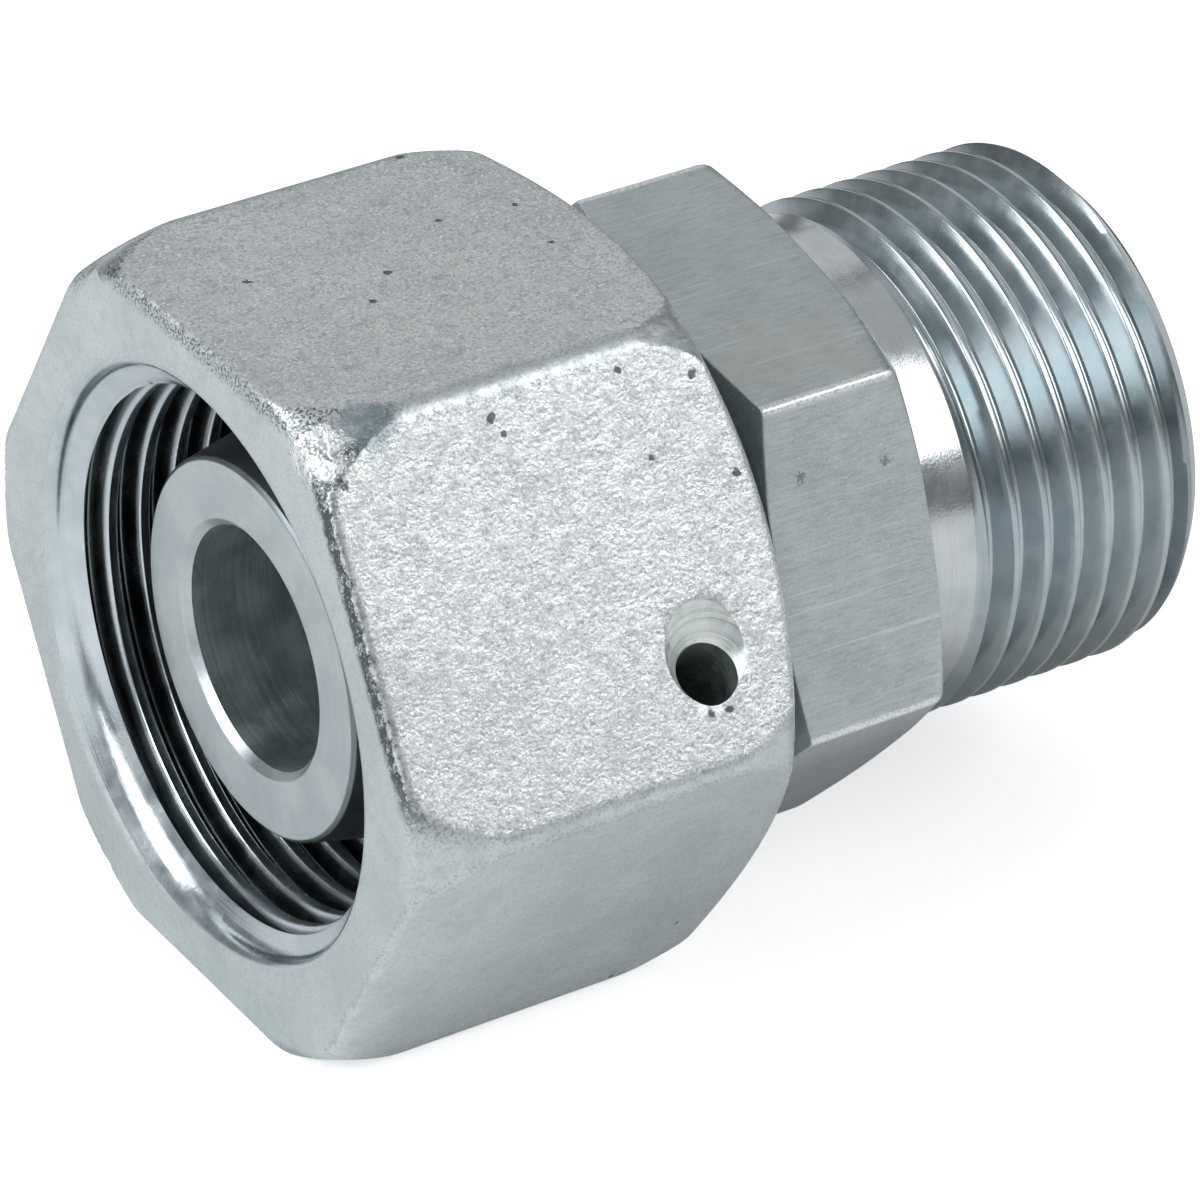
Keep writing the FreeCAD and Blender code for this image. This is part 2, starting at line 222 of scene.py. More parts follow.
def thread_patch(theta, form, x0, xs, xe, edge_radius, sign, limit):
    """Rings that follow a right-hand thread from xs to xe. x0 is a place of its
    crest, and sign is 1 in a bore and -1 on a stud."""
    phases, depths = form
    n = len(phases)
    first = math.floor((xs - x0) / PITCH) - 2
    last = math.ceil((xe - x0) / PITCH) + 1
    k = np.arange(n * (last - first + 1))
    line = x0 + (first + k // n + np.array(phases)[k % n]) * PITCH
    x = line[:, None] + PITCH * theta[None, :] / (2 * math.pi)
    r = np.broadcast_to((edge_radius + sign * np.array(depths)[k % n])[:, None], x.shape)
    clamped = np.clip(x, xs, xe)
    # Where the thread is cut off, a ring takes the depth of the thread at the cut.
    u = np.mod((clamped - x0 - PITCH * theta[None, :] / (2 * math.pi)) / PITCH, 1.0)
    cut = edge_radius + sign * np.interp(u, list(phases) + [1.0], list(depths) + [depths[0]])
    r = np.where(clamped == x, r, cut)
    return clamped, limit(clamped, r), n


# ------------------------------------------------------------------------ body
BODY_CORNERS = [HEX_TURN + 60 * k for k in range(6)]
body_theta = angles(1.25, BODY_CORNERS, (0.06, 0.14, 0.22, 0.4, 0.9))
body = Shell(body_theta)
columns = len(body_theta)
NOSE, HEXAGON, THREAD, BORE, RELIEF = range(5)


def cone_r(x):
    """Radius of the 24 degree cone between the nose and the collar."""
    return COLLAR_R - (CONE_END - x) * TAN[12]


front = rounded([
    (NOSE_FACE + BORE_EDGE, FLOW_R), (NOSE_FACE, FLOW_R + BORE_EDGE), (NOSE_FACE, NOSE_R),
    (NOSE_FACE + NOSE_CORNER, NOSE_R + NOSE_CORNER + 0.03), (RING_FRONT, cone_r(RING_FRONT)), (RING_FRONT, RING_R),
    (RING_REAR, RING_R), (RING_REAR, cone_r(RING_REAR)), (CONE_END, COLLAR_R),
    (WIRE_X - WIRE_GROOVE, COLLAR_R)], 0.05)
front = spread(front, 1.2)
front += [(x, r) for x, r in arc_points(WIRE_GROOVE, 180, 360, 16) if r < COLLAR_R]
front += [(WIRE_X + WIRE_GROOVE, COLLAR_R), (-15.2, COLLAR_R), (HEX_FRONT, COLLAR_R)]
body.patch(*rings_of(front, columns), NOSE)

# The hexagon: its front face and chamfer, the flats, its rear chamfer and face.
hexr = hex_radius(body_theta, HEX_FLAT, HEX_TURN, HEX_FILLET)
EDGE = 0.07
REAR_EDGE = EDGE + 0.35 * (hexr - HEX_FLAT)
inner = np.minimum(HEX_FACE_R, hexr - REAR_EDGE)


def chamfer_run(r):
    """How far the chamfer of the hexagon lies behind its face, by radius."""
    return np.maximum(r - HEX_FACE_R, 0) * TAN[15]


hex_rings = [(HEX_FRONT, COLLAR_R + (inner - COLLAR_R) * k / 3) for k in range(4)]
for k in (1, 2, 3):
    r = inner + (hexr - EDGE - inner) * k / 3
    hex_rings.append((HEX_FRONT + chamfer_run(r), r))
top = HEX_FRONT + chamfer_run(hexr)
hex_rings += bend(hex_rings[-1], (top, hexr), (top + EDGE, hexr))[1:]
end = HEX_REAR - chamfer_run(hexr)
hex_rings += [(top + EDGE + (end - top - EDGE - REAR_EDGE) * k / 8, hexr) for k in range(1, 9)]
low = hexr - REAR_EDGE
hex_rings += bend((end - REAR_EDGE, hexr), (end, hexr), (HEX_REAR - chamfer_run(low), low))[1:]
for k in (1, 2, 3):
    r = low + (inner - low) * k / 3
    hex_rings.append((HEX_REAR - chamfer_run(r), r))
hex_rings += [(HEX_REAR, inner + (RELIEF_R + RELIEF_ROUND - inner) * k / 2) for k in (1, 2)]
body.patch(*rings_of(hex_rings, columns), HEXAGON)

relief_start = HEX_REAR + RELIEF_ROUND
relief = bend((HEX_REAR, RELIEF_R + RELIEF_ROUND), (HEX_REAR, RELIEF_R), (relief_start, RELIEF_R))
relief += [(relief_start + (RELIEF_END - 0.1 - relief_start) * k / 4, RELIEF_R) for k in range(1, 5)]
body.patch(*rings_of(relief, columns), RELIEF)

STUD_CREST = -2.78 - PITCH * 170 / 360


def stud_limit(x, r):
    """The thread runs out into the relief and into the end chamfer."""
    past = x - RELIEF_END
    soft = np.where(past < 0.1, RELIEF_R + np.maximum(past + 0.1, 0) ** 2 / 0.4, RELIEF_R + np.maximum(past, 0))
    return np.minimum(np.minimum(r, soft), STUD_FACE_R + STUD_FACE - x)


stud_x, stud_r, rings = thread_patch(body_theta, thread_form(0.11, 0.2165, 0.92, 0.018), STUD_CREST,
                                     RELIEF_END - 0.1, STUD_FACE, STUD_R, -1, stud_limit)
body.patch(stud_x, stud_r, THREAD, rings)

inside = rounded([(STUD_FACE, STUD_FACE_R), (STUD_FACE, CONE_MOUTH_R), (SOCKET_CONE, SOCKET_R), (0.0, SOCKET_R),
                  (0.0, FLOW_R), (NOSE_FACE + BORE_EDGE, FLOW_R)], 0.06)
body.patch(*rings_of(spread(inside, 2.0), columns), BORE)

# ------------------------------------------------------------------------- nut
NUT_CORNERS = [60 * k for k in range(6)]
nut_theta = angles(1.1, NUT_CORNERS, (0.28, 0.56, 0.84, 1.12, 1.4, 1.68, 2.1))
nut = Shell(nut_theta)
columns = len(nut_theta)
OUTER, MOUTH, INNER = range(3)
STEP = 0.04


def crown_x(r, edge, angle):
    """Distance from the face by radius: a short cone, then a long round."""
    low = REACH - CROWN_R + math.sqrt(CROWN_R ** 2 - (CROWN_LENGTH - edge) ** 2)
    t = math.tan(math.radians(angle))
    face_r = low - edge / t
    if r <= face_r:
        return 0.0
    if r < low:
        return (r - face_r) * t
    return CROWN_LENGTH - math.sqrt(max(CROWN_R ** 2 - (r - REACH + CROWN_R) ** 2, 0))


def dense(points):
    """One column's outline in even steps: the length at each step, x, r, and the
    length at each given point."""
    points = np.array(points)
    seg = np.hypot(*np.diff(points, axis=0).T)
    s = np.concatenate([[0], np.cumsum(seg)])
    even = np.arange(0, s[-1], STEP)
    return even, np.interp(even, s, points[:, 0]), np.interp(even, s, points[:, 1]), s


def soften(values, soft, pad=28):
    """The same values smoothed along the outline, its two ends held."""
    kernel = np.exp(-0.5 * (np.arange(-pad, pad + 1) * STEP / soft) ** 2)
    padded = np.concatenate([2 * values[0] - values[pad:0:-1], values, 2 * values[-1] - values[-2:-pad - 2:-1]])
    return np.convolve(padded, kernel / kernel.sum(), "valid")


# The mouth's bevels as depth and radius, and the same where the lip is worn
# widest. The lip ends at the fifth point and the outer bevel at the sixth.
LIP = np.array([(MOUTH_DEPTH, MOUTH_R), (0.82, 12.18), (0.38, 12.24), (0.2, 12.34), (0.07, 12.52), (0.0, 12.8),
                (0.0, FRONT_FACE_R)])
WIDE_LIP = np.array([(MOUTH_DEPTH, MOUTH_R), (0.9, 12.0), (0.62, 12.28), (0.4, 12.66), (0.16, 13.08), (0.0, 13.4),
                     (0.0, FRONT_FACE_R)])
LIP_END, BEVEL_END, FACE_END = 4, 5, 6
WIDE_AT, WIDE_OVER = 312, 38                        # degrees round the mouth
LIP_RINGS = 10


def lip_profile(theta):
    d = (math.degrees(theta) - WIDE_AT + 180) % 360 - 180
    w = math.exp(-(d / WIDE_OVER) ** 4)
    return [tuple(point) for point in LIP * (1 - w) + WIDE_LIP * w]


def nut_column(theta, h):
    """One column of the nut's outside, from the mouth to the rear face. Its bevels
    keep their edges, and its crowns and long edges are softened."""
    path = lip_profile(theta)
    path += [(crown_x(r, *FRONT_CONE), r) for r in np.linspace(FRONT_FACE_R, h, 40)[1:]]
    front_edge = len(path) - 1
    path.append((NUT_LENGTH - crown_x(h, *REAR_CONE), h))
    rear_edge = len(path) - 1
    path += [(NUT_LENGTH - crown_x(r, *REAR_CONE), r) for r in np.linspace(h, REAR_FACE_R, 40)[1:]]
    face_end = len(path) - 1
    path.append((NUT_LENGTH, 11.0))
    s, x, r, at = dense(path)
    near = 1 / (1 + np.exp((s - at[BEVEL_END] - 0.5) / 0.1))
    far = 1 / (1 + np.exp(-(s - s[-1] / 2)))
    smooth = [soften(v, 0.05) * near + soften(v, 0.28) * (1 - near) * (1 - far) + soften(v, 0.2) * far for v in (x, r)]
    lip, face, fe, re_, end = at[LIP_END], at[FACE_END], at[front_edge], at[rear_edge], at[face_end]
    stops = [*np.linspace(0, lip, LIP_RINGS), lip + 0.12, lip + 0.25, lip + 0.4, lip + 0.7, face - 0.2, face + 0.1]
    stops += list(np.linspace(face + 0.1, fe - 0.55, 9)[1:])
    stops += [fe + d for d in (-0.42, -0.3, -0.18, -0.06, 0.06, 0.18, 0.3, 0.42, 0.6)]
    stops += list(np.linspace(fe + 0.6, re_ - 0.6, 18)[1:])
    stops += [re_ + d for d in (-0.4, -0.27, -0.15, -0.05, 0.05, 0.15, 0.27, 0.4, 0.55)]
    stops += list(np.linspace(re_ + 0.55, end - 0.1, 7)[1:])
    stops += [end + 0.1, end + 0.3, end + 0.8, s[-1]]
    return np.interp(stops, s, smooth[0]) + NUT_MOUTH, np.interp(stops, s, smooth[1])


nutr = hex_radius(nut_theta, NUT_FLAT, 0, NUT_FILLET)
outer_x, outer_r = np.array([nut_column(theta, h) for theta, h in zip(nut_theta, nutr)]).transpose(1, 2, 0)
nut.patch(outer_x[:LIP_RINGS - 2:-1], outer_r[:LIP_RINGS - 2:-1], OUTER)
nut.patch(outer_x[LIP_RINGS - 1::-1], outer_r[LIP_RINGS - 1::-1], MOUTH)


def nut_limit(x, r):
    """The thread starts in the mouth's chamfer."""
    return np.maximum(r, MOUTH_R - 1.6 * (x - NUT_MOUTH - MOUTH_DEPTH))


nut_x, nut_r, rings = thread_patch(nut_theta, thread_form(0.2, 0.11, 0.812, 0.022), NUT_MOUTH + 0.97,
                                   NUT_MOUTH + MOUTH_DEPTH, NUT_MOUTH + THREAD_DEPTH, NUT_BORE_R, 1, nut_limit)
nut.patch(np.array([outer_x[0], np.full(columns, NUT_MOUTH + MOUTH_DEPTH)]), np.array([outer_r[0], nut_r[0]]), MOUTH)
nut.patch(nut_x, nut_r, MOUTH, rings)
thread_end, shoulder = NUT_MOUTH + THREAD_DEPTH, NUT_MOUTH + SHOULDER_DEPTH
deep = [(thread_end, nut_r[-1]), (thread_end, NUT_RELIEF_R), (shoulder - 0.1, NUT_RELIEF_R), (shoulder, 12.1),
        (shoulder, 10.1), (shoulder + 0.08, RUNNING_R), (WIRE_X - WIRE_GROOVE, RUNNING_R)]
deep += [(x, r) for x, r in arc_points(WIRE_GROOVE, 180, 0, 18) if r > RUNNING_R]
deep += [(WIRE_X + WIRE_GROOVE, RUNNING_R), (NUT_REAR - 0.35, RUNNING_R), (NUT_REAR, RUNNING_R + 0.35),
         (outer_x[-1], outer_r[-1])]
nut.patch(*rings_of(deep, columns), INNER)


def add(mesh, name, materials):
    piece = bpy.data.objects.new(name, mesh)
    bpy.context.scene.collection.objects.link(piece)
    for material in materials:
        mesh.materials.append(material)
    return piece


# ------------------------------------------------------------------- materials
class Paint:
    """A material being built: nodes by short calls, lengths in mm."""

    def __init__(self, name, metallic=1.0):
        self.material = bpy.data.materials.new(name)
        self.material.use_nodes = True
        self.tree = self.material.node_tree
        self.bsdf = self.tree.nodes["Principled BSDF"]
        self.bsdf.inputs["Metallic"].default_value = metallic
        self.bsdf.inputs["Roughness"].default_value = 0.4
        self.bsdf.inputs["Base Color"].default_value = (0.7, 0.72, 0.73, 1)
        coords = self.tree.nodes.new("ShaderNodeTexCoord")
        scale = self.node("ShaderNodeVectorMath", operation="SCALE")
        self.tree.links.new(coords.outputs["Object"], scale.inputs[0])
        scale.inputs["Scale"].default_value = 1000
        self.mm = scale.outputs[0]
        split = self.node("ShaderNodeSeparateXYZ")
        self.tree.links.new(self.mm, split.inputs[0])
        self.x, self.y, self.z = split.outputs
        self.bumps = []

    def node(self, kind, **settings):
        node = self.tree.nodes.new(kind)
        for key, value in settings.items():
            setattr(node, key, value)
        return node

    def feed(self, socket, value):
        if isinstance(value, (int, float)):
            socket.default_value = value
        elif isinstance(value, tuple):
            socket.default_value = (*value, 1) if len(value) == 3 and len(socket.default_value) == 4 else value
        else:
            self.tree.links.new(value, socket)

    def math(self, operation, *values):
        node = self.node("ShaderNodeMath", operation=operation)
        for socket, value in zip(node.inputs, values):
            self.feed(socket, value)
        return node.outputs[0]

    def plus(self, a, b):
        return self.math("ADD", a, b)

    def minus(self, a, b):
        return self.math("SUBTRACT", a, b)

    def times(self, *values):
        return functools.reduce(lambda a, b: self.math("MULTIPLY", a, b), values)

    def most(self, *values):
        return functools.reduce(lambda a, b: self.math("MAXIMUM", a, b), values)

    def least(self, *values):
        return functools.reduce(lambda a, b: self.math("MINIMUM", a, b), values)

    def vector_math(self, operation, a, b=None):
        """A vector operation between a socket and a fixed or linked vector."""
        node = self.node("ShaderNodeVectorMath", operation=operation)
        self.feed(node.inputs[0], a)
        if b is not None:
            node.inputs[1].default_value = b
        scalar = operation in ("DOT_PRODUCT", "DISTANCE", "LENGTH")
        return node.outputs["Value" if scalar else "Vector"]

    def ramp(self, value, low, high, to_low=0.0, to_high=1.0, smooth=True):
        node = self.node("ShaderNodeMapRange", interpolation_type="SMOOTHSTEP" if smooth else "LINEAR")
        names = ("Value", "From Min", "From Max", "To Min", "To Max")
        for name, v in zip(names, (value, low, high, to_low, to_high)):
            self.feed(node.inputs[name], v)
        return node.outputs[0]

    def mix(self, factor, a, b):
        node = self.node("ShaderNodeMix", data_type="RGBA")
        self.feed(node.inputs[0], factor)
        self.feed(node.inputs[6], a)
        self.feed(node.inputs[7], b)
        return node.outputs[2]

    def noise(self, size, detail=2.0, rough=0.5, vector=None, seed=0.0):
        """Noise whose features measure about the given size in mm."""
        moved = self.vector_math("ADD", vector or self.mm, (37.3 * seed, 11.9 * seed, 23.1 * seed))
        node = self.node("ShaderNodeTexNoise")
        self.tree.links.new(moved, node.inputs["Vector"])
        node.inputs["Scale"].default_value = 1 / size
        node.inputs["Detail"].default_value = detail
        node.inputs["Roughness"].default_value = rough
        return node.outputs[0]

    def radius(self):
        return self.math("SQRT", self.plus(self.times(self.y, self.y), self.times(self.z, self.z)))

    def combine(self, x, y, z=0):
        node = self.node("ShaderNodeCombineXYZ")
        for socket, value in zip(node.inputs, (x, y, z)):
            self.feed(socket, value)
        return node.outputs[0]

    def spots(self, points, ragged, low, high, to_high=1.0):
        """Covers what lies nearer than low to one of the points, in full from high
        inwards. Ragged is added to the distance."""
        nearest = self.least(*[self.vector_math("DISTANCE", self.mm, point) for point in points])
        return self.ramp(self.plus(nearest, ragged), low, high, 0.0, to_high)

    def bump(self, height, distance):
        node = self.node("ShaderNodeBump")
        node.inputs["Strength"].default_value = 1.0
        node.inputs["Distance"].default_value = distance * MM
        self.feed(node.inputs["Height"], height)
        if self.bumps:
            self.tree.links.new(self.bumps[-1], node.inputs["Normal"])
        self.bumps.append(node.outputs[0])

    def finish(self, colour, roughness):
        self.feed(self.bsdf.inputs["Base Color"], colour)
        self.feed(self.bsdf.inputs["Roughness"], roughness)
        self.tree.links.new(self.bumps[-1], self.bsdf.inputs["Normal"])
        return self.material


# Marks on the nut, mm: pits, a battered corner, and burrs beside the hole.
PITS = [(-25.57, -1.19, 15), (-23.9, 0.44, 15), (-28.98, 2.6, 15), (-16.84, 2.42, 15), (-20.07, 2.96, 15),
        (-18.68, 8.12, 15), (-25.27, -9.35, 13.8), (-19.45, -9.2, 14.07), (-16.35, -9.68, 13.24),
        (-15.6, -11.8, 9.6), (-19.34, -16.08, 2.14), (-18.53, -16.1, 2.11)]
CORNER_BRIGHT, CORNER_DARK, CORNER_CHIP = (-32.35, -8.4, 13.9), (-30.3, -8.5, 14.6), (-32.05, -9.55, 13.0)
BURRS = [(-17.3, -15.2, 3.75), (-17.4, -15.4, 3.2), (-19.7, -15.95, 2.36), (-19.1, -16.02, 2.26)]
# Marks on the body's hexagon: a yellow cast and two dark spots.
CAST = [(-8.6, -7.2, 10.8), (-10.6, -6.6, 10.9)]
DARK_SPOTS = [(-7.57, -10.39, 6.91), (-11.54, -10.26, 7.3)]


def inside_flat(p):
    """How far a point of the nut lies inside the border of its flat, in mm. It is
    negative on the crowns, on the long edges and on the faces."""
    normals = [(0, math.cos(math.radians(a)), math.sin(math.radians(a))) for a in (30, 90, 150)]
    flats = p.most(*[p.math("ABSOLUTE", p.vector_math("DOT_PRODUCT", p.mm, normal)) for normal in normals])
    r = p.radius()
    side2 = p.most(p.minus(p.times(r, r), p.times(flats, flats)), 0.0)
    q = p.minus(p.math("SQRT", p.plus(side2, NUT_FLAT ** 2)), REACH - CROWN_R)
    arc = p.math("SQRT", p.most(p.minus(CROWN_R ** 2, p.times(q, q)), 0.0))
    border = p.most(p.minus(CROWN_LENGTH, arc), 0.0)
    return p.least(
        p.minus(p.minus(p.x, NUT_MOUTH), border),
        p.minus(p.minus(NUT_REAR, p.x), p.most(border, 0.22)),
        p.minus(8.08, p.math("SQRT", side2)),
        p.times(p.minus(flats, NUT_FLAT - 0.2), 2.2))


def forged_zinc():
    """Zinc plate over a forged and blasted skin: grain, pits, smudges."""
    p = Paint("forged_zinc")
    grain = p.noise(0.2, 2.0, 0.65)
    coarse = p.noise(0.6, 2.0, 0.6, seed=3)
    cloud = p.noise(3.2, 3.0, 0.6, seed=7)
    speck = p.noise(0.13, 1.5, 0.6, seed=13)
    spark = p.noise(0.12, 1.0, 0.5, seed=17)
    streak = p.noise(0.3, 2.0, 0.6, vector=p.vector_math("MULTIPLY", p.mm, (0.3, 1, 1)), seed=11)
    ragged = p.ramp(p.noise(0.45, 3, 0.75, seed=21), 0.25, 0.75, -0.32, 0.32, smooth=False)
    inside = p.plus(inside_flat(p), ragged)
    # The blasted skin lies on the upper flats. The border of the flat with the
    # hole is worn ragged towards the mouth, and that of the top flat is speckled.
    on_flat = p.times(p.ramp(inside, -0.12, 0.06), p.ramp(p.z, -0.6, 0.6, 0.15, 1.0))
    worn = p.times(p.ramp(p.y, -7.4, -8.6), p.ramp(p.z, -0.6, 3.5), p.ramp(p.x, -28.0, -30.0))
    speckled = p.times(p.ramp(p.x, -29.5, -30.8), p.ramp(p.y, -8.2, -7.4), p.ramp(p.z, 12.0, 13.2))
    blots = p.ramp(p.noise(0.5, 3, 0.7, seed=33), 0.36, 0.5)
    thin = p.times(p.ramp(inside, -0.6, -0.25), p.ramp(inside, 0.12, -0.08))
    wide = p.times(p.ramp(inside, -2.0, -0.7), p.ramp(inside, 0.16, -0.1))
    broad = p.times(wide, p.most(p.times(worn, 1.35), speckled))
    fringe = p.least(p.most(p.times(thin, 0.25), broad), 1.0)

    smooth = p.mix(p.ramp(cloud, 0.3, 0.7), (0.585, 0.635, 0.645), (0.665, 0.71, 0.715))
    smooth = p.mix(p.ramp(speck, 0.48, 0.7, 0, 0.42), smooth, (0.42, 0.46, 0.47))
    smooth = p.mix(p.ramp(coarse, 0.5, 0.75, 0, 0.18), smooth, (0.45, 0.49, 0.50))
    rough = p.mix(p.ramp(cloud, 0.3, 0.7), (0.64, 0.675, 0.685), (0.74, 0.77, 0.775))
    rough = p.mix(p.ramp(speck, 0.46, 0.68, 0, 0.62), rough, (0.34, 0.37, 0.38))
    rough = p.mix(p.ramp(coarse, 0.5, 0.75, 0, 0.3), rough, (0.42, 0.45, 0.46))
    rough = p.mix(p.ramp(streak, 0.52, 0.75, 0, 0.4), rough, (0.34, 0.37, 0.38))
    rough = p.mix(p.ramp(spark, 0.58, 0.7, 0, 0.8), rough, (0.95, 0.96, 0.96))
    colour = p.mix(on_flat, smooth, rough)
    dark = p.times(fringe, p.most(p.ramp(speck, 0.45, 0.6, 0.1, 0.8), p.times(blots, worn, 0.95)))
    colour = p.mix(dark, colour, (0.07, 0.085, 0.09))
    colour = p.mix(p.times(fringe, p.ramp(spark, 0.62, 0.72, 0, 0.6)), colour, (0.93, 0.94, 0.94))
    # The battered corner between the two upper flats, and the burrs at the hole.
    bright = p.spots([CORNER_BRIGHT], p.times(ragged, 1.3), 1.5, 0.9)
    film_and_painted_shade = p.spots([CORNER_DARK], p.times(ragged, 1.3), 1.4, 0.8)
    chip = p.spots([CORNER_CHIP], p.times(ragged, 0.8), 0.34, 0.16)
    burr = p.spots(BURRS, p.times(ragged, 0.6), 0.32, 0.16)
    colour = p.mix(p.times(film_and_painted_shade, p.ramp(speck, 0.4, 0.6, 0.5, 0.9)), colour, (0.30, 0.37, 0.41))
    colour = p.mix(p.times(bright, p.ramp(coarse, 0.35, 0.55, 0.3, 0.85)), colour, (0.92, 0.94, 0.95))
    colour = p.mix(p.times(bright, p.ramp(speck, 0.55, 0.66, 0, 0.7)), colour, (0.2, 0.23, 0.24))
    colour = p.mix(p.times(burr, 0.9), colour, (0.97, 0.98, 0.98))
    # Pits left by the forging scale: small ones all over, and the larger PITS.
    dots = p.node("ShaderNodeTexVoronoi", feature="F1")
    p.feed(dots.inputs["Vector"], p.mm)
    dots.inputs["Scale"].default_value = 1 / 1.9
    lucky = p.node("ShaderNodeSeparateColor")
    p.feed(lucky.inputs[0], dots.outputs["Color"])
    pit = p.ramp(p.plus(dots.outputs["Distance"], p.ramp(speck, 0.3, 0.7, -0.02, 0.03)), 0.085, 0.04)
    pit = p.times(pit, p.math("GREATER_THAN", lucky.outputs[0], 0.86))
    pit = p.most(pit, p.spots(PITS, p.times(ragged, 0.45), 0.19, 0.09), chip)
    colour = p.mix(p.times(pit, 0.85), colour, (0.06, 0.068, 0.07))
    p.bump(p.times(grain, p.ramp(on_flat, 0, 1, 0.4, 1.0)), 0.026)
    p.bump(coarse, 0.03)
    p.bump(p.times(pit, -1.0), 0.08)
    p.bump(p.times(bright, p.noise(0.45, 2, 0.6, seed=41)), 0.14)
    return p.finish(colour, p.ramp(coarse, 0.3, 0.7, 0.37, 0.52))


def turned_zinc(name, colour_low, colour_high, low, high, lines, film_and_painted_shade=None):
    """Zinc plate over turned steel, with a roughness from low to high. Lines is the strength of the marks around the
    axis. The last argument, if given, returns how much painted shade darkens a point; on the stud it also gives the
    darker tone of its end."""
    p = Paint(name)
    r = p.radius()
    marks = p.noise(0.09, 3.0, 0.7, vector=p.combine(p.x, r))
    wide = p.noise(0.5, 2.0, 0.6, vector=p.combine(p.x, r), seed=5)
    cloud = p.noise(1.6, 3.0, 0.6, seed=2)
    speck = p.noise(0.12, 2.0, 0.6, seed=9)
    colour = p.mix(p.ramp(cloud, 0.3, 0.7), colour_low, colour_high)
    colour = p.mix(p.ramp(marks, 0.45, 0.75, 0, min(0.3 * lines, 0.8)), colour, (0.38, 0.42, 0.44))
    colour = p.mix(p.ramp(speck, 0.6, 0.85, 0, 0.35), colour, (0.36, 0.40, 0.42))
    # Painted shade in grooves, recesses and on lower sides, as the last argument gives it.
    if film_and_painted_shade:
        colour = p.mix(film_and_painted_shade(p, r), colour, (0.09, 0.105, 0.11))
    p.bump(marks, 0.004 * lines)
    p.bump(wide, 0.006 * lines)
    p.bump(speck, 0.004 * min(lines, 1.0))
    return p.finish(colour, p.ramp(cloud, 0.3, 0.7, low, high))


def painted_groove_shade(p, r):
    """Painted shade: dark in the nut's thread grooves, clean on the crests and the lip."""
    return p.times(p.ramp(r, 11.3, 11.45), p.ramp(p.x, NUT_MOUTH + 1.22, NUT_MOUTH + 1.34), 0.85)


def painted_nose_shade(p, r):
    """Painted shade: dark on the cone behind the nose's face."""
    side = p.ramp(p.x, NOSE_FACE + 0.01, NOSE_FACE + 0.1, 0, 0.75)
    return p.most(p.times(side, p.ramp(r, 5.6, 5.9)), p.ramp(r, 7.76, 7.84, 0, 0.75))


def painted_underside_shade(p, _=None):
    """Painted shade: darker towards the body's lower side."""
    return p.ramp(p.z, -2.5, -7.5, 0, 0.42)


def stud_end_tone_and_shade(p, _):
    """A little darker towards the stud's end, and painted shade on its lower side."""
    return p.most(p.ramp(p.x, 6.2, 7.4, 0.04, 0.4), painted_underside_shade(p))


def drawn_zinc():
    """Zinc plate over cold drawn bar: fine scratches along the axis."""
    p = Paint("drawn_zinc")
    along = p.noise(0.1, 3.0, 0.75, vector=p.vector_math("MULTIPLY", p.mm, (0.1, 1, 1)))
    lines = p.noise(0.25, 2.0, 0.6, vector=p.vector_math("MULTIPLY", p.mm, (0.02, 1, 1)), seed=4)
    grain = p.noise(0.1, 2.0, 0.6, seed=8)
    cloud = p.noise(2.4, 3.0, 0.6, seed=6)
    colour = p.mix(p.ramp(cloud, 0.3, 0.7), (0.525, 0.575, 0.59), (0.60, 0.65, 0.66))
    colour = p.mix(p.ramp(along, 0.44, 0.66, 0, 0.5), colour, (0.38, 0.42, 0.435))
    colour = p.mix(p.ramp(grain, 0.5, 0.7, 0, 0.35), colour, (0.76, 0.80, 0.81))
    colour = p.mix(p.ramp(lines, 0.6, 0.75, 0, 0.5), colour, (0.82, 0.84, 0.85))
    # A faint yellow cast of the plating on one flat, a painted highlight along the hexagon's rounded corners, and two
    # dark spots.
    cast = p.spots(CAST, p.ramp(cloud, 0.3, 0.7, -0.8, 0.8), 2.4, 0.8, 0.4)
    colour = p.mix(cast, colour, (0.60, 0.59, 0.49))
    # Painted highlight: bright lines on the hexagon's rounded corners.
    line = p.times(p.ramp(p.radius(), 13.69, 13.77), p.ramp(grain, 0.35, 0.55, 0.2, 0.9))
    colour = p.mix(line, colour, (0.93, 0.95, 0.95))
    spot = p.spots(DARK_SPOTS, p.ramp(grain, 0.3, 0.7, -0.12, 0.12), 0.28, 0.1, 0.55)
    colour = p.mix(spot, colour, (0.10, 0.12, 0.13))
    # Painted shade: the hexagon darker towards its lower side.
    colour = p.mix(painted_underside_shade(p), colour, (0.20, 0.22, 0.23))
    p.bump(along, 0.008)
    p.bump(grain, 0.008)
    return p.finish(colour, p.ramp(grain, 0.3, 0.7, 0.36, 0.5))


def plain(name, size, dark, pale, depth, low, high, metallic=1.0):
    """One fine grain between two colours, for the hidden pieces."""
    p = Paint(name, metallic)
    fine = p.noise(size, 3, 0.6)
    p.bump(fine, depth)
    return p.finish(p.mix(p.ramp(fine, 0.3, 0.7), dark, pale), p.ramp(fine, 0.3, 0.7, low, high))


forged = forged_zinc()
mouth = turned_zinc("mouth_zinc", (0.58, 0.65, 0.69), (0.70, 0.76, 0.79), 0.18, 0.28, 1.0, painted_groove_shade)
nose = turned_zinc("nose_zinc", (0.50, 0.555, 0.57), (0.60, 0.645, 0.655), 0.3, 0.42, 1.2, painted_nose_shade)
bore = turned_zinc("bore_zinc", (0.50, 0.56, 0.57), (0.66, 0.71, 0.72), 0.36, 0.48, 3.0)
